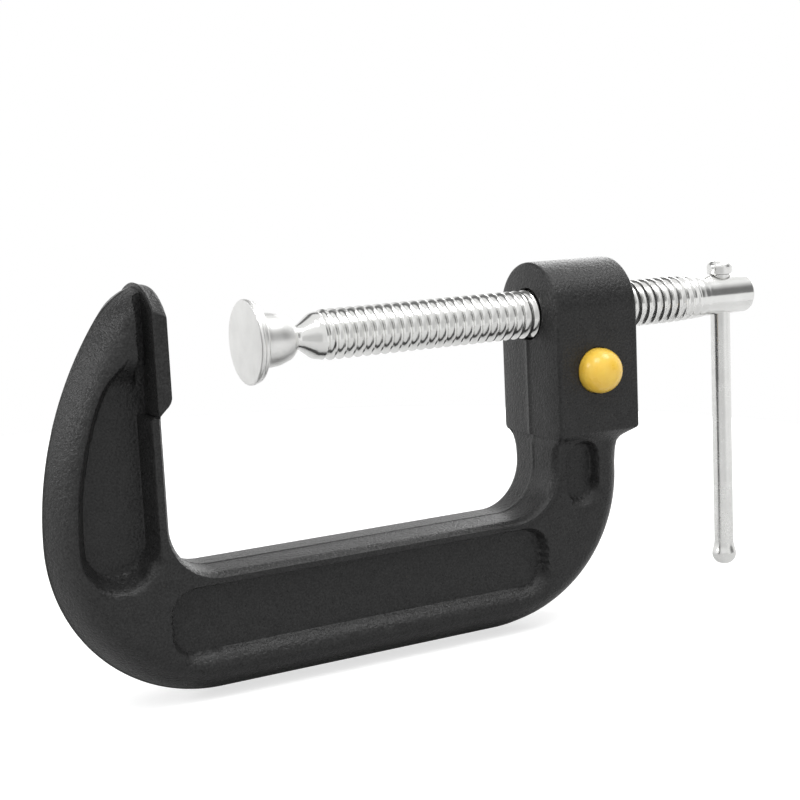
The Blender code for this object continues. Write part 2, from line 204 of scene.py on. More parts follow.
def make_enamel():
    """Satin black enamel over a sand-cast surface: orange peel, dust nibs and fine sparkle."""
    finish = Finish("black_enamel", Specular_IOR_Level=0.3)
    cast = finish.noise(4.0, 3.0)
    peel = finish.noise(0.9, 3.0, 0.6)
    grain = finish.noise(0.55, 2.0)
    nibs = finish.add("ShaderNodeTexVoronoi", {"feature": "F1"}, Vector=finish.place,
                      Scale=1.0 / (4.0 * MM), Randomness=1.0)
    nib = 1.0 - nibs.step(0.02, 0.06)
    tone = cast * 0.2 + grain * 0.8
    colour = finish.add("ShaderNodeValToRGB", {"stops": [(0.35, (0.011, 0.011, 0.011)),
                                                         (0.65, (0.031, 0.031, 0.031))]},
                        Fac=tone)
    finish.drive("Base Color", colour)
    finish.drive("Roughness", 0.20 + peel * 0.20)
    finish.bump((cast, 0.12), (peel, 0.26), (grain, 0.07), (nib, 0.05))
    return finish.material


def make_plating(name, roughness):
    """Bright zinc plate with a faint haze; rougher where it is left as plated."""
    finish = Finish(name, Metallic=1.0)
    haze = finish.noise(6.0, 3.0)
    fine = finish.noise(0.5, 2.0)
    colour = finish.add("ShaderNodeValToRGB", {"stops": [(0.3, (0.82, 0.82, 0.805)),
                                                         (0.7, (0.91, 0.91, 0.895))]},
                        Fac=haze)
    finish.drive("Base Color", colour)
    finish.drive("Roughness", roughness + haze * 0.08 + fine * 0.05)
    finish.bump((haze, 0.02), (fine, 0.006))
    return finish.material


def make_yellow():
    """Glossy moulded plastic."""
    finish = Finish("yellow_plastic", Coat_Weight=0.4, Coat_Roughness=0.08)
    soft = finish.noise(3.0, 2.0)
    colour = finish.add("ShaderNodeValToRGB", {"stops": [(0.3, (0.93, 0.58, 0.065)),
                                                         (0.7, (0.96, 0.63, 0.085))]}, Fac=soft)
    finish.drive("Base Color", colour)
    finish.drive("Roughness", 0.24 + soft * 0.10)
    finish.bump((soft, 0.015))
    return finish.material


def make_steel():
    """Machined steel with tool marks and a film of oil."""
    finish = Finish("oiled_steel", Metallic=1.0)
    marks = finish.noise(0.12, 1.0, place=finish.stretched((1.0, 6.0, 1.0)))
    stain = finish.noise(4.0, 3.0)
    colour = finish.add("ShaderNodeValToRGB", {"stops": [(0.35, (0.30, 0.29, 0.28)),
                                                         (0.7, (0.46, 0.46, 0.46))]}, Fac=stain)
    finish.drive("Base Color", colour)
    finish.drive("Roughness", 0.26 + stain * 0.2 + marks * 0.06)
    finish.bump((marks, 0.006))
    return finish.material


# ------------------------------------------------------------------------------- mesh helpers

def finish_mesh(name, bm, material, crease=38.0):
    """An object at the origin from a bmesh in millimetres."""
    bmesh.ops.remove_doubles(bm, verts=bm.verts, dist=1e-4)
    bmesh.ops.dissolve_degenerate(bm, edges=bm.edges, dist=1e-5)
    bmesh.ops.recalc_face_normals(bm, faces=bm.faces)
    bmesh.ops.transform(bm, matrix=Matrix.Scale(MM, 4), verts=bm.verts)
    mesh = bpy.data.meshes.new(name)
    bm.to_mesh(mesh)
    bm.free()
    mesh.shade_smooth()
    mesh.set_sharp_from_angle(angle=math.radians(crease))
    mesh.materials.append(material)
    obj = bpy.data.objects.new(name, mesh)
    bpy.context.scene.collection.objects.link(obj)
    return obj


def settle(obj, crease=None):
    """Bakes an object's modifiers into a plain mesh."""
    bpy.context.view_layer.update()
    graph = bpy.context.evaluated_depsgraph_get()
    mesh = bpy.data.meshes.new_from_object(obj.evaluated_get(graph))
    material = obj.data.materials[0]
    obj.modifiers.clear()
    obj.data = mesh
    mesh.name = obj.name
    mesh.materials.clear()
    mesh.materials.append(material)
    if crease:
        mesh.shade_smooth()
        mesh.set_sharp_from_angle(angle=math.radians(crease))
    return obj


def cut(obj, tool, operation="DIFFERENCE"):
    """Boolean with a tool, which is used up."""
    boolean = obj.modifiers.new(tool.name, "BOOLEAN")
    boolean.object = tool
    boolean.operation = operation
    boolean.solver = "MANIFOLD"
    settle(obj)
    bpy.data.objects.remove(tool)


def skin(bm, rings, closed=True):
    """Faces between rows of points."""
    rows = [[bm.verts.new(point) for point in ring] for ring in rings]
    count = len(rows[0])
    for row, following in zip(rows, rows[1:]):
        for i in range(count if closed else count - 1):
            j = (i + 1) % count
            bm.faces.new((row[i], row[j], following[j], following[i]))
    return rows


def turned(axis, profile, centre=(0.0, 0.0), sides=96, capped=True):
    """A turned solid from (distance along an axis, radius) pairs. Radius 0 closes an end."""
    bm = bmesh.new()
    rings = []
    for along, radius in profile:
        ring = []
        for i in range(sides):
            angle = 2 * math.pi * i / sides
            a = centre[0] + radius * math.cos(angle)
            b = centre[1] + radius * math.sin(angle)
            ring.append({"X": (along, a, b), "Y": (a, along, b), "Z": (a, b, along)}[axis])
        rings.append(ring)
    rows = skin(bm, rings)
    for row, (_, radius) in zip((rows[0], rows[-1]), (profile[0], profile[-1])):
        if capped and radius > 1e-6:
            bm.faces.new(row)
    return bm


def rounded(points, radius, steps=6):
    """A profile with its inner corners rounded. Each point may carry its own radius."""
    made = [tuple(points[0][:2])]
    for before, point, after in zip(points, points[1:], points[2:]):
        r = point[2] if len(point) > 2 else radius
        corner = Vector(point[:2])
        a = Vector(before[:2]) - corner
        b = Vector(after[:2]) - corner
        if r <= 0 or a.length < 1e-6 or b.length < 1e-6:
            made.append(tuple(corner))
            continue
        reach = min(r, 0.49 * a.length, 0.49 * b.length)
        start = corner + a.normalized() * reach
        end = corner + b.normalized() * reach
        for k in range(steps + 1):
            t = k / steps
            made.append(tuple(start * (1 - t) ** 2 + corner * (2 * t * (1 - t)) + end * t * t))
    made.append(tuple(points[-1][:2]))
    return made


# -------------------------------------------------------------------------- the frame casting

JAW_FACE_X = -1.2              # inner edge of the anvil jaw at the parting line
ARM_FACE_X = 115.0
THROAT_Z = -57.1
INNER_CORNER_R = 13.0
SPINE_BOTTOM_Z = -91.3
JAW_BACK_R = 96.8
JAW_BACK_CENTRE = (65.1, -46.1)
FRONT_CORNER_R = 45.0
REAR_CORNER_R = 43.5
ARM_BACK_X = 142.9
HALF_THICKNESS = 11.1
RIM_WIDTH = 9.0
RIM_CREST = 4.0
TIP_R = 17.2
TIP_ROUND = 5.0                # how far the back is brought in at the very tip
TIP_ROUND_Z = 9.5
BOSS_FRONT_X = 114.3
BOSS_BACK_X = 143.3
BOSS_R = 14.9
BOSS_DRAFT = 0.06
BOSS_EDGE = 0.9                # radius of the boss's long edges
BOSS_FACE_Z = -35.42           # where the boss's front face begins, with a small undercut below
UNDERCUT = 0.7
RELEASE_X = (BOSS_FRONT_X + BOSS_BACK_X) / 2
RELEASE_Z = -16.6

CORNER_STEPS = 62
SPINE_STEPS = 110
FLAT_STEPS = 22
MIDDLE_STEPS = 34
RIM_STEPS = 26
SPINE_POCKET = ((-2.2, -78.4), (111.3, -61.3), 6.4)     # low and high corners, corner radius
ARM_POCKET = ((120.3, -54.7), (130.0, -38.2), 4.7)
POCKET_FLOOR = 7.8
SEAM_HEIGHT = 0.15             # the parting seam, a low flat ridge round the middle
SEAM_HALF = 0.30


def jaw_back(z):
    return JAW_BACK_CENTRE[0] - math.sqrt(JAW_BACK_R ** 2 - (z - JAW_BACK_CENTRE[1]) ** 2)


def arc(centre, radius, start, end, steps):
    angles = np.radians(np.linspace(start, end, steps + 1))
    return np.stack([centre[0] + radius * np.cos(angles), centre[1] + radius * np.sin(angles)], 1)


def straight(start, end, steps):
    return np.linspace(start, end, steps + 1)


def casting_stations():
    """Pairs of points on the casting's inner and outer outline, from the tip to the boss."""
    corner_z = THROAT_Z + INNER_CORNER_R
    corner_x = JAW_FACE_X + INNER_CORNER_R
    rear_x = ARM_FACE_X - INNER_CORNER_R
    front_outer = (jaw_back(JAW_BACK_CENTRE[1]) + FRONT_CORNER_R, SPINE_BOTTOM_Z + FRONT_CORNER_R)
    rear_outer = (ARM_BACK_X - REAR_CORNER_R, SPINE_BOTTOM_Z + REAR_CORNER_R)

    # down the jaw, closest over the tip, whose back is rounded off
    tip = TIP_R * np.sin(np.radians(np.linspace(90, 62, 16)))
    heights = np.concatenate([tip[:-1], np.linspace(tip[-1], corner_z, 72)])
    share = (heights - TIP_R) / (corner_z - TIP_R)
    back = np.array([(jaw_back(z), z) for z in TIP_R + (JAW_BACK_CENTRE[1] - TIP_R) * share])
    rise = np.clip((back[:, 1] - TIP_ROUND_Z) / (TIP_R - TIP_ROUND_Z), 0, 1)
    back[:, 0] += TIP_ROUND * (1 - np.sqrt(1 - rise ** 2))
    inner = [np.stack([np.full_like(heights, JAW_FACE_X), heights], 1)]
    outer = [back]
    # the front corner, the spine and the rear corner
    inner.append(arc((corner_x, corner_z), INNER_CORNER_R, 180, 270, CORNER_STEPS))
    outer.append(arc(front_outer, FRONT_CORNER_R, 180, 270, CORNER_STEPS))
    inner.append(straight((corner_x, THROAT_Z), (rear_x, THROAT_Z), SPINE_STEPS))
    outer.append(straight((front_outer[0], SPINE_BOTTOM_Z), (rear_outer[0], SPINE_BOTTOM_Z),
                          SPINE_STEPS))
    inner.append(arc((rear_x, corner_z), INNER_CORNER_R, 270, 360, CORNER_STEPS))
    outer.append(arc(rear_outer, REAR_CORNER_R, 270, 360, CORNER_STEPS))
    # up the arm and through the boss, closest where the boss begins
    rise = np.concatenate([np.linspace(corner_z, -40.0, 6)[:-1],
                           np.linspace(-40.0, -35.45, 16), np.linspace(-35.40, -33.6, 9),
                           np.linspace(-33.0, 0.0, 34)])
    lag = (rear_outer[1] - corner_z) * (1 - smoothstep(corner_z, -38.0, rise))
    up_inner = np.stack([np.full_like(rise, ARM_FACE_X), rise], 1)
    up_outer = np.stack([np.full_like(rise, ARM_BACK_X), rise + lag], 1)
    # each stretch begins where the one before it ends
    return (np.concatenate([part[:-1] for part in inner] + [up_inner]),
            np.concatenate([part[:-1] for part in outer] + [up_outer]))


def pocket_wall(floor, outside, steep, bead, slope, width):
    """Side height by a pocket: a steep wall, and where bead is 1 a broad bevel above it."""
    bevel = HALF_THICKNESS - slope * (width - outside) + (1 - bead) * 8
    return smooth_max(floor + 0 * outside,
                      smooth_min(floor + outside * steep, bevel, 0.35), 0.35)


def leaf_pocket(x, z):
    """Side height left by the jaw's pocket, which runs out above, and the groove by the anvil."""
    front_x, foot_z = -6.3, -47.6
    centre_x, centre_z = JAW_BACK_CENTRE
    back_r = JAW_BACK_R - 9.2
    back = np.hypot(x - centre_x, z - centre_z) - back_r
    foot_r = (front_x - (centre_x - back_r)) / 2
    foot = np.hypot(x - front_x + foot_r, z - foot_z) - foot_r
    front = x - front_x - 4.3 * smoothstep(-15.6, -14.6, z)
    low = z < foot_z
    ridge = -6.6 - x
    outside = np.where(low, foot, smooth_max(smooth_min(back, ridge, 1.2), front, 0.6))
    floor = 3.8 + 1.9 * smoothstep(-14.0, 4.0, z)
    floor = floor + 7.5 * smoothstep(-8.0, 2.0, z) * (1 - smoothstep(-7.4, -6.2, x))
    across = (x - front_x + foot_r) / (foot + foot_r + 1e-6)
    towards_front = np.where(low, smoothstep(0.45, 0.95, across), front > back - 0.2)
    steep = 2.2 + 2.8 * towards_front - 1.2 * smoothstep(-8.0, 6.0, z)
    bead = np.where(low, smoothstep(0.0, 0.5, (foot_z - z) / (foot + foot_r + 1e-6)), 0.0)
    return pocket_wall(floor, outside, steep, bead, 1.1, 3.4)


def box_distance(x, z, low, high, radius):
    """Distance outside a rectangle with round corners, and the way out along x and z."""
    cx, cz = (low[0] + high[0]) / 2, (low[1] + high[1]) / 2
    dx = np.abs(x - cx) - (high[0] - low[0]) / 2 + radius
    dz = np.abs(z - cz) - (high[1] - low[1]) / 2 + radius
    out_x, out_z = np.maximum(dx, 0), np.maximum(dz, 0)
    outside = np.hypot(out_x, out_z)
    length = outside + 1e-6
    return (outside + np.minimum(np.maximum(dx, dz), 0) - radius,
            out_x / length * np.sign(x - cx), out_z / length * np.sign(z - cz))


def side_height(x, z, base):
    """Half thickness of the casting, from its plain form and the pockets in it."""
    crisp = smoothstep(-9.0, -5.0, x) * smoothstep(-50.0, -46.5, z)
    height = np.where(x < 20, smooth_min(base, leaf_pocket(x, z), 2.4 - 1.9 * crisp), base)
    for low, high, radius in (SPINE_POCKET, ARM_POCKET):
        outside, way_x, way_z = box_distance(x, z, low, high, radius)
        bead = smoothstep(0.1, 0.8, 0.3 * way_x - way_z)
        pocket = pocket_wall(POCKET_FLOOR, outside, 3.5, bead, 0.85, 2.9)
        height = smooth_min(height, pocket, 0.35 + 0.9 * bead)
    return height


def boss_section(front, rim_start, a, t, rim_y, count):
    """A ring's points laid round half of the boss: their x, and their distance to the side."""
    x, y = [], []
    # its front, with the parting seam, then the front edge
    for i, value in enumerate((0.0, SEAM_HALF, SEAM_HALF + 0.2, 2.0, 7.0, BOSS_R - BOSS_EDGE)):
        y.append(value)
        x.append(BOSS_FRONT_X + BOSS_DRAFT * value + SEAM_HEIGHT * (i > 1))
    for i in range(count - 6):
        turn = math.pi / 2 * (i + 1) / (count - 6)
        y.append(BOSS_R - BOSS_EDGE + BOSS_EDGE * math.sin(turn))
        x.append(BOSS_FRONT_X + BOSS_DRAFT * BOSS_R + SEAM_HEIGHT
                 + BOSS_EDGE * (1 - math.cos(turn)))
    # its side
    x += list(front + a[count:count + FLAT_STEPS + MIDDLE_STEPS])
    y += [BOSS_R] * (FLAT_STEPS + MIDDLE_STEPS)
    # the rest of the side, the back edge and the back
    side_end = BOSS_BACK_X - BOSS_EDGE
    first = front + rim_start
    for value, height in zip(t, rim_y):
        if value <= 0.4:
            x.append(first + (side_end - first) * value / 0.4)
            y.append(BOSS_R)
        elif value <= 0.65:
            turn = math.pi / 2 * (value - 0.4) / 0.25
            x.append(side_end + BOSS_EDGE * math.sin(turn))
            y.append(BOSS_R - BOSS_EDGE + BOSS_EDGE * math.cos(turn))
        else:
            x.append(BOSS_BACK_X - SEAM_HEIGHT * (height > SEAM_HALF + 0.1))
            y.append(min(height, SEAM_HALF + 0.2) if height < 1.2 else
                     (BOSS_R - BOSS_EDGE) * (1 - (value - 0.65) / 0.35))
    return np.array(x), np.array(y)


def casting_ring(inner, outer):
    """A ring round the casting, from the inner parting line over the far side and back."""
    depth = math.hypot(*(outer - inner))
    z_in = inner[1]
    half = HALF_THICKNESS
    if z_in > 0 and inner[0] < 50:
        tip = math.sqrt(max(TIP_R ** 2 - z_in ** 2, 0.0))
        half = float(smooth_min(np.array(half), np.array(tip), 1.5)) if tip > 1.5 else tip
    size = min(1.0, half / 5.0)
    rim = min(RIM_WIDTH, 0.6 * depth)
    crest = RIM_CREST * rim / RIM_WIDTH
    near = min(1.0, (depth - rim) / 8.0)
    crown = half - 2.6 * size
    ridge = SEAM_HEIGHT * size
    along = [0.0, 0.0, ridge, ridge + 0.02, ridge + 0.15, 0.50, 0.60, 0.85, 1.20, 1.50, 1.74]
    y = [0.0, SEAM_HALF * size, (SEAM_HALF + 0.2) * size, 0.1 * crown + 0.4 * size, 0.5 * crown,
         crown, crown + 0.6 * size, crown + 1.2 * size, crown + 1.8 * size, crown + 2.25 * size,
         crown + 2.54 * size]
    a = [value * near for value in along]
    flat = np.linspace(2.05, 7.0, FLAT_STEPS) * near
    a += list(flat)
    y += [half] * FLAT_STEPS
    middle = np.linspace(flat[-1], depth - rim, MIDDLE_STEPS + 1)[1:]
    a += list(middle)
    y += [half] * MIDDLE_STEPS
    t = np.concatenate([np.linspace(0, 0.965, RIM_STEPS)[1:], [0.978, 0.9865, 1.0]])
    rim_y = half * (1 - t ** 2)
    sunk = SEAM_HEIGHT * size * smoothstep(SEAM_HALF, SEAM_HALF + 0.2, rim_y)
    a += list(depth - rim * (1 - t) ** 2 - crest * 2 * t * (1 - t) - sunk)
    y += list(rim_y)
    a = np.array(a)
    y = np.array(y)
    place = inner + (outer - inner) * (a / depth)[:, None]
    x, z = place[:, 0], place[:, 1]

    # the flange is a little lower than the body round the rear corner and up the arm
    rear = smoothstep(88.0, 108.0, x) * smoothstep(2.2, 2.6, a) * 0.8
    step = y - rear * (1 - smoothstep(3.4, 6.4, a)) * (y > half - 0.5)
    y = side_height(x, z, step)

    # into the boss
    level = z_in if inner[0] > 50 else -100.0
    into = np.interp(level, [-43, -40.5, -38.8, -37.6, -36.9, -34.9, -34.5, -34.1],
                     [0, .04, .13, .28, .42, .93, .985, 1.0])
    if into > 0:
        count = len(along)
        boss_x, boss_y = boss_section(inner[0], depth - rim, a, t, rim_y, count)
        x[:count] += (UNDERCUT * smoothstep(-38.5, -35.6, np.array(level))
                      * (level < BOSS_FACE_Z))
        face = float(level > BOSS_FACE_Z)
        blend_x = np.where(np.arange(len(a)) < count - 3, face, into)
        x = x * (1 - blend_x) + boss_x * blend_x
        y = y * (1 - into) + boss_y * into
        z = z * (1 - into) + z_in * into
    far = np.stack([x, y, z], 1)
    near_side = np.stack([x, -y, z], 1)[1:-1][::-1]
    return np.concatenate([far, near_side])


def make_casting(material):
    inner, outer = casting_stations()
    rings = [casting_ring(a, b) for a, b in zip(inner, outer)]
    bm = bmesh.new()
    skin(bm, rings)
    # the boss's round top: its last half ring turned about the spindle
    half = rings[-1][:(len(rings[-1]) + 2) // 2]
    top = []
    for angle in np.linspace(0, math.pi, 57):
        top.append([(x, y * math.cos(angle), y * math.sin(angle)) for x, y, _ in half])
    skin(bm, top, closed=False)
    return finish_mesh("frame_casting", bm, material)


def make_anvil(material):
    """The anvil's plate: round top, sloped back to the jaw at the bottom, edges eased."""
    half_width, thickness = 14.0, 3.8
    rings = []
    for x, radius, bottom, inset in (
            (-thickness, 18.2, -15.2, 0.35), (-thickness + 0.35, 18.1, -14.9, 0.0),
            (-1.9, 17.5, -13.4, 0.0), (-1.1, 17.4, -12.7, 0.0), (-0.5, 17.2, -11.9, 0.0),
            (-0.12, 17.1, -11.15, 0.14), (0.0, 17.0, -10.9, 0.5)):
        radius -= inset
        half = half_width - inset
        reach = math.degrees(math.acos(half / radius))
        outline = [tuple(p) for p in arc((0.0, 0.0), radius, reach, 180 - reach, 40)]
        outline = outline + [(-half, 4.0), (-half, bottom + inset), (half, bottom + inset),
                             (half, 4.0), outline[0]]
        crown = [(0.0, radius)]
        outline = rounded(crown + outline[21:] + outline[1:20] + crown, 0.8)[:-1]
        rings.append([(x, y, z) for y, z in outline])
    bm = bmesh.new()
    rows = skin(bm, rings)
    bm.faces.new(rows[0])
    bm.faces.new(rows[-1])
    return finish_mesh("anvil", bm, material)


def make_frame(material):
    casting = make_casting(material)
    cut(casting, make_anvil(material), "UNION")
    bore = rounded([(BOSS_FRONT_X - 6, 9.6), (BOSS_FRONT_X + 1.0, 7.5), (BOSS_BACK_X - 0.6, 7.4),
                    (BOSS_BACK_X + 6, 10.5)], 0.3)
    cut(casting, finish_mesh("bore_tool", turned("X", bore), material))
    release = [(-20, 6.8), (-11.8, 6.8), (-11.8, 11.8), (14.4, 11.8), (20, 14.0)]
    tool = turned("Y", release, (RELEASE_X, RELEASE_Z))
    cut(casting, finish_mesh("release_tool", tool, material))
    casting.data.shade_smooth()
    casting.data.set_sharp_from_angle(angle=math.radians(36))
    return casting


# ------------------------------------------------------------------------------- the spindle

PITCH = 2.83
THREAD_R = 7.0
ROOT_R = 5.95
THREAD_START_X = 46.9
THREAD_END_X = 177.6
THREAD_FADE = 12.0
THREAD_LEAD_IN = 2.2
CREST_WIDTH = 0.16             # share of the pitch that is flat crest
FLANK_CURVE = 2.2              # above 1 makes the valley wide and round
JOINT_R = (THREAD_R + ROOT_R) / 2
TAIL_R = 6.05
SPINDLE_END_X = 196.3
NECK_R = 3.3
BALL_R = 4.3
BALL_X = 35.7
HANDLE_X = 187.0
HANDLE_R = 3.0
SIDES = 96
COLUMNS_PER_TURN = 12


def sized_group(name, sizes):
    """A Geometry Nodes tree whose inputs are its sizes and its material, and their values."""
    group = bpy.data.node_groups.new(name, "GeometryNodeTree")
    group.interface.new_socket("Geometry", in_out="OUTPUT", socket_type="NodeSocketGeometry")
    for label, value in sizes.items():
        socket = group.interface.new_socket(label, in_out="INPUT", socket_type="NodeSocketFloat")
        socket.default_value = value
    group.interface.new_socket("Material", in_out="INPUT", socket_type="NodeSocketMaterial")
    tree = Tree(group)
    labels = [*sizes, "Material"]
    return tree, dict(zip(labels, tree.add("NodeGroupInput", out=labels)))


def close_group(tree, geometry, material):
    """Ends a tree as one real mesh with its material."""
    real = tree.add("GeometryNodeRealizeInstances", Geometry=geometry)
    done = tree.add("GeometryNodeSetMaterial", Geometry=real, Material=material)
    tree.add("NodeGroupOutput", out=(), Geometry=done)
    return tree.tree


def thread_tree():
    """A right-hand thread on a grid whose columns follow the helix. Sizes are in millimetres."""
    tree, size = sized_group("thread", {
        "Pitch": PITCH, "Outer Radius": THREAD_R, "Root Radius": ROOT_R, "Joint Radius": JOINT_R,
        "Start": THREAD_START_X, "End": THREAD_END_X, "Lead In": THREAD_LEAD_IN,
        "Fade": THREAD_FADE, "Crest": CREST_WIDTH, "Flank": FLANK_CURVE})
    turns = math.ceil((THREAD_END_X - THREAD_START_X) / PITCH) + 2
    grid = tree.add("GeometryNodeMeshGrid", Vertices_X=turns * COLUMNS_PER_TURN,
                    Vertices_Y=SIDES + 1)
    index = tree.add("GeometryNodeInputIndex")
    column = (index / (SIDES + 1)).floor()
    around = (index - column * (SIDES + 1)) / SIDES
    turn = column / COLUMNS_PER_TURN
    x = size["Start"] - size["Pitch"] + (turn + around) * size["Pitch"]
    x = x.at_least(size["Start"]).at_most(size["End"])
    valley = 1.0 - (turn.fraction() * 2.0 - 1.0).absolute()
    crest = 1.0 - ((valley - size["Crest"]) / (1.0 - size["Crest"])).at_least(0.0)
    depth = size["Outer Radius"] - size["Root Radius"]
    radius = size["Root Radius"] + depth * (crest ** size["Flank"])
    amount = ((x - size["Start"]) / size["Lead In"]).at_most((size["End"] - x) / size["Fade"])
    amount = amount.at_most(1.0)
    radius = size["Joint Radius"] + (radius - size["Joint Radius"]) * amount
    angle = (around - 0.5) * (2 * math.pi)
    spot = tree.add("ShaderNodeCombineXYZ", X=x, Y=radius * angle.cosine(),
                    Z=radius * angle.sine())
    placed = tree.add("GeometryNodeSetPosition", Geometry=grid, Position=spot)
    welded = tree.add("GeometryNodeMergeByDistance", Geometry=placed, Distance=1e-4)
    return close_group(tree, welded, size["Material"])


def generated(name, group, material):
    """A plain mesh from a node tree."""
    mesh = bpy.data.meshes.new(name)
    mesh.materials.append(material)
    obj = bpy.data.objects.new(name, mesh)
    bpy.context.scene.collection.objects.link(obj)
    modifier = obj.modifiers.new(name, "NODES")
    modifier.node_group = group
    for item in group.interface.items_tree:
        if item.in_out == "INPUT" and item.socket_type == "NodeSocketMaterial":
            modifier[item.identifier] = material
        elif item.in_out == "INPUT":
            modifier[item.identifier] = item.default_value
    return settle(obj)


def make_spindle(material):
    thread = generated("spindle_thread", thread_tree(), material)
    bm = bmesh.new()
    bm.from_mesh(thread.data)
    bpy.data.objects.remove(thread)
    ball = []
    for angle in np.radians(np.linspace(180, math.degrees(math.asin(NECK_R / BALL_R)), 24)):
        ball.append((BALL_X + BALL_R * math.cos(angle), BALL_R * math.sin(angle)))
    ball[0] = (ball[0][0], 0.0)
    front = ball[:-1] + rounded([ball[-1], (41.4, NECK_R, 0.5), (45.3, 6.2, 2.0),
                                 (THREAD_START_X, JOINT_R)], 0.5)
    edge = 0.6
    back = rounded([(THREAD_END_X, JOINT_R), (THREAD_END_X + 1.6, TAIL_R + 0.1, 0.8),
                    (SPINDLE_END_X - edge, TAIL_R, 0.5), (SPINDLE_END_X, TAIL_R - edge, 0.3),
                    (SPINDLE_END_X, 0.0)], 0.5)
    for profile in (front, back):
        part = turned("X", profile, sides=SIDES, capped=False)
        mesh = bpy.data.meshes.new("part")
        part.to_mesh(mesh)
        part.free()
        bm.from_mesh(mesh)
        bpy.data.meshes.remove(mesh)
    spindle = finish_mesh("spindle_screw", bm, material, 50.0)
    hole = rounded([(-9.0, HANDLE_R + 2.6), (-5.6, HANDLE_R + 0.3), (5.6, HANDLE_R + 0.3),
                    (9.0, HANDLE_R + 2.6)], 0.4)
    cut(spindle, finish_mesh("hole_tool", turned("Z", hole, (HANDLE_X, 0.0), 64), material))
    spindle.data.shade_smooth()
    spindle.data.set_sharp_from_angle(angle=math.radians(50))
    return spindle


def make_pad(material):
    """The swivel pad: a disc with two beads round its rim, and a domed collar on the ball."""
    face, rim, end = 26.1, 3.0, 39.8
    outside = [(face, 0.0), (face, 11.15, 0.25), (face + 0.3, 11.45, 0.3),
               (face + 0.9, 11.5, 0.5), (face + 1.5, 11.1, 0.3), (face + 1.9, 11.1, 0.4),
               (face + 2.5, 10.9, 0.5), (face + rim, 10.0, 0.5), (face + rim + 0.4, 7.9, 0.9),
               (face + rim + 1.6, 7.5, 1.0), (face + rim + 6.0, 7.1, 3.0),
               (end - 1.4, 5.8, 1.4), (end - 0.3, 4.7, 0.5), (end, 4.2, 0.2),
               (end - 0.5, 4.0, 0.3)]
    mouth_r, socket_r = 4.0, BALL_R + 0.3
    mouth = math.asin(mouth_r / socket_r)
    socket = [(BALL_X + socket_r * math.cos(angle), socket_r * math.sin(angle))
              for angle in np.linspace(mouth, math.pi, 20)]
    socket[-1] = (socket[-1][0], 0.0)
    profile = rounded(outside + [socket[0]], 0.3, 5) + socket[1:]
    return finish_mesh("pad", turned("X", profile), material, 60.0)


def make_handle(material):
    """The sliding bar: upset heads at both ends."""
    bottom, top, head, length = -86.0, 10.8, 3.9, 6.1
    upper = TAIL_R + 0.3           # just above the tail
    profile = [(bottom, 0.0), (bottom, 2.1, 0.8), (bottom + 1.3, 3.4, 1.2),
               (bottom + 3.2, head, 1.2), (bottom + length, HANDLE_R, 1.4),
               (upper - 1.0, HANDLE_R, 0.0), (upper, HANDLE_R, 0.2),
               (upper + 0.1, head - 0.15, 0.3), (top - 1.4, head, 1.0), (top - 0.2, 2.4, 0.7),
               (top, 0.0)]
    bar = rounded(profile, 0.5, 6)
    return finish_mesh("sliding_handle", turned("Z", bar, (HANDLE_X, 0.0)), material, 60.0)


# ------------------------------------------------------------------------- the quick release

BUTTON_R = 6.5


def make_button(material):
    """The push button: a bored cap with a flattened dome."""
    back, base, shoulder, front = -17.8, -11.8, -16.2, -22.0
    profile = [(back, 0.0), (back, 3.5, 0.2), (base, 3.5, 0.1), (base, 6.3, 0.1),
               (base - 0.2, BUTTON_R, 0.1), (-15.0, BUTTON_R, 1.0)]
    profile = rounded(profile + [(shoulder, BUTTON_R)], 0.3)
    for angle in np.linspace(0, math.pi / 2, 29)[1:]:
        profile.append((shoulder + (front - shoulder) * math.sin(angle) ** 1.1,
                        BUTTON_R * max(math.cos(angle), 0.0) ** 0.86))
    profile[-1] = (front, 0.0)
    return finish_mesh("button_cap", turned("Y", profile, (RELEASE_X, RELEASE_Z)), material, 60.0)


def spring_tree():
    """A wire round a helix along Y. Its sizes are in metres."""
    tree, size = sized_group("spring", {
        "Coil Radius": 4.0 * MM, "Wire Radius": 0.5 * MM, "Coils": 7.0, "Length": 16.2 * MM,
        "Start": -5.2 * MM})
    coil = tree.add("GeometryNodeCurveSpiral", Resolution=40, Rotations=size["Coils"],
                    Start_Radius=size["Coil Radius"], End_Radius=size["Coil Radius"],
                    Height=size["Length"])
    middle = tree.add("ShaderNodeCombineXYZ", X=RELEASE_X * MM, Y=size["Start"],
                      Z=RELEASE_Z * MM)
    placed = tree.add("GeometryNodeTransform", Geometry=coil, Translation=middle,
                      Rotation=(-math.pi / 2, 0.0, 0.0))
    section = tree.add("GeometryNodeCurvePrimitiveCircle", {"mode": "RADIUS"}, Resolution=12,
                       Radius=size["Wire Radius"])
    wire = tree.add("GeometryNodeCurveToMesh", Curve=placed, Profile_Curve=section,
                    Fill_Caps=True)
    smooth = tree.add("GeometryNodeSetShadeSmooth", Geometry=wire)
    return close_group(tree, smooth, size["Material"])


def make_plug(material):
    """The screw plug behind the spring, with a slot and an eased edge."""
    profile = rounded([(11.9, 0.0), (11.9, 11.5, 0.1), (14.2, 11.5, 0.4), (14.7, 11.0, 0.4),
                       (14.7, 0.0)], 0.3)
    plug = finish_mesh("plug", turned("Y", profile, (RELEASE_X, RELEASE_Z)), material)
    slot = bmesh.new()
    bmesh.ops.create_cube(slot, size=1.0)
    bmesh.ops.scale(slot, vec=(16.1, 4.0, 1.6), verts=slot.verts)
    bmesh.ops.translate(slot, vec=(RELEASE_X, 13.4 + 2.0, RELEASE_Z), verts=slot.verts)
    cut(plug, finish_mesh("slot_tool", slot, material))
    return settle(plug, 38.0)


# ---------------------------------------------------------------------------------- the scene

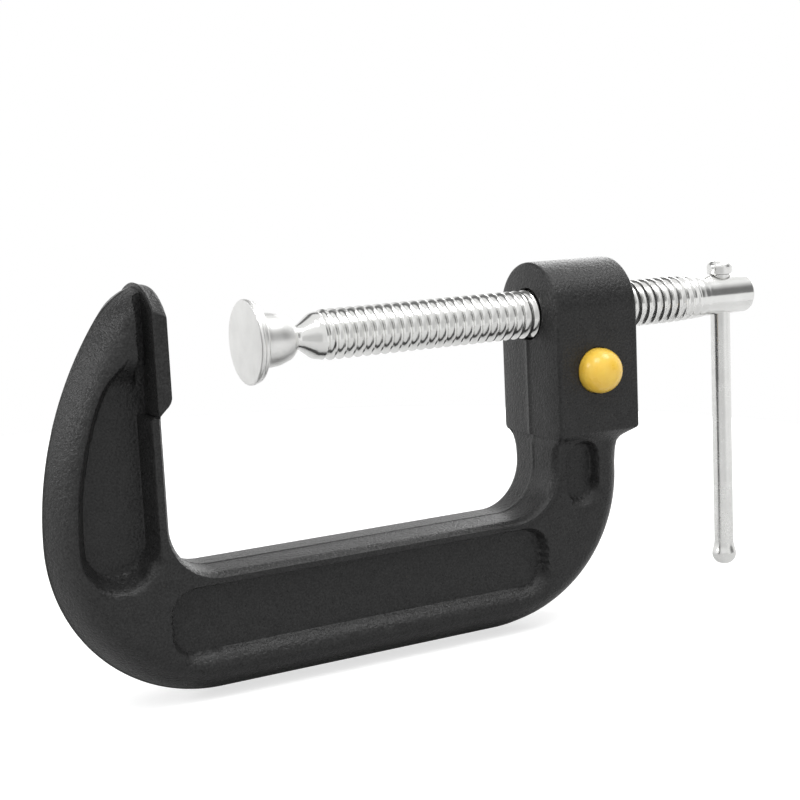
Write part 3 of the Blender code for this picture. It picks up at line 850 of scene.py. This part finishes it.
ROOM_LIGHT = 0.90
PANEL_DARKNESS = 0.73
BAND_DARKNESS = 0.74
LEFT_DARKNESS = 0.30
OVERHEAD_WINDOW = 5.0
LEFT_WINDOW = 10.0
TABLE_R = 330.0


def make_table():
    """A pale table that looks white from the camera, and is greyer in reflections."""
    floor_tree = Finish("pale_floor", Base_Color=(0.56, 0.56, 0.56, 1.0), Roughness=0.9,
                        Specular_IOR_Level=0.1, Emission_Strength=0.66)
    seen = floor_tree.add("ShaderNodeLightPath", out="Is Camera Ray")
    glow = floor_tree.add("ShaderNodeCombineColor", Red=seen, Green=seen, Blue=seen)
    floor_tree.drive("Emission Color", glow)
    bm = bmesh.new()
    bmesh.ops.create_circle(bm, cap_ends=True, radius=TABLE_R, segments=96)
    bmesh.ops.translate(bm, vec=(80.0, 140.0, SPINE_BOTTOM_Z - 0.3), verts=bm.verts)
    finish_mesh("floor", bm, floor_tree.material)


def make_lamps():
    """Two soft square lamps, placed in metres: a key above the left and a fill on the right."""
    for name, place, target, power in (
            ("key", (-0.35, -0.35, 0.95), (0.06, 0, -0.03), 3.0),
            ("fill", (0.70, 0.45, 0.25), (0.09, 0, -0.03), 2.0)):
        light = bpy.data.lights.new(name, "AREA")
        light.energy = power
        light.size = 0.50
        lamp = bpy.data.objects.new(name, light)
        lamp.location = place
        aim = Vector(target) - Vector(place)
        lamp.rotation_euler = aim.to_track_quat("-Z", "Y").to_euler()
        bpy.context.scene.collection.objects.link(lamp)


def make_studio():
    """A white room with dark parts and two small windows, which the metal and enamel reflect."""
    world = bpy.data.worlds.new("studio")
    bpy.context.scene.world = world
    world.use_nodes = True
    tree = Tree(world.node_tree)
    way = tree.add("ShaderNodeTexCoord", out="Generated")
    x, y, z = tree.add("ShaderNodeSeparateXYZ", out=("X", "Y", "Z"), Vector=way)
    level = (x * x + y * y) ** 0.5
    # dark parts: a panel at the front right, the left below eye height, a band high behind
    side = ((x * 0.743 - y * 0.669) / level).step(0.88, 0.985)
    height = z.step(-0.04, 0.03) * (1.0 - z.step(0.38, 0.76))
    left = ((x * -0.68 - y * 0.733) / level).step(0.55, 0.90) * (1.0 - z.step(0.0, 0.4))
    behind = ((y * 0.906 - x * 0.423) / level).step(0.26, 0.64)
    above = z.step(0.42, 0.54) * (1.0 - z.step(0.72, 0.80))
    # windows: one overhead, one at the back left
    cap = (x * 0.36 - y * 0.24 + z * 0.90).step(0.955, 0.985)
    streak = (x * -0.866 + y * 0.276 + z * 0.417).step(0.982, 0.997)
    light = (ROOM_LIGHT - side * height * PANEL_DARKNESS - behind * above * BAND_DARKNESS
             - left * LEFT_DARKNESS)
    light = light + cap * OVERHEAD_WINDOW + streak * LEFT_WINDOW
    # the camera itself sees plain white
    seen = tree.add("ShaderNodeLightPath", out="Is Camera Ray")
    light = light * (1.0 - seen) + seen
    colour = tree.add("ShaderNodeCombineColor", Red=light, Green=light, Blue=light)
    tree.give(world.node_tree.nodes["Background"].inputs["Color"], colour)


def make_camera():
    """The camera: its place, where it points, and its slight roll."""
    azimuth, elevation, roll = math.radians(28.448), math.radians(8.395), math.radians(-2.738)
    ahead = Vector((math.sin(azimuth) * math.cos(elevation),
                    math.cos(azimuth) * math.cos(elevation), -math.sin(elevation)))
    level = ahead.cross(Vector((0, 0, 1))).normalized()
    upright = level.cross(ahead)
    right = math.cos(roll) * level + math.sin(roll) * upright
    up = -math.sin(roll) * level + math.cos(roll) * upright
    data = bpy.data.cameras.new("camera")
    data.sensor_width = 36.0
    data.lens = 69.2
    data.clip_start = 0.01
    data.clip_end = 50.0
    camera = bpy.data.objects.new("camera", data)
    spot = Vector((-130.70, -373.47, 42.27)) * MM
    camera.matrix_world = Matrix(((right.x, up.x, -ahead.x, spot.x),
                                  (right.y, up.y, -ahead.y, spot.y),
                                  (right.z, up.z, -ahead.z, spot.z),
                                  (0, 0, 0, 1)))
    bpy.context.scene.collection.objects.link(camera)
    bpy.context.scene.camera = camera


def main():
    make_camera()
    make_table()
    make_lamps()
    make_studio()
    bpy.context.scene.view_settings.view_transform = "Standard"
    enamel = make_enamel()
    plating = make_plating("bright_plating", 0.10)
    satin = make_plating("satin_plating", 0.30)
    drawn = make_plating("drawn_plating", 0.20)
    yellow = make_yellow()
    steel = make_steel()
    spring = generated("spring_wire", spring_tree(), steel)
    for piece, node, body, slot in (
            (make_frame(enamel), "c_frame", "frame", "black_enamel"),
            (make_spindle(plating), "spindle", "spindle", "bright_plating"),
            (make_pad(satin), "swivel_pad", "pad", "bright_plating"),
            (make_handle(drawn), "handle_bar", "handle", "bright_plating"),
            (make_button(yellow), "release_button", "release", "yellow_plastic"),
            (spring, "return_spring", "frame", "oiled_steel"),
            (make_plug(steel), "bore_plug", "frame", "oiled_steel")):
        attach(piece, body)
        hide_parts(node)
    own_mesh(spring)
    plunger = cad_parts["locking_plunger"]
    plunger.data.materials.clear()
    plunger.data.materials.append(steel)


main()
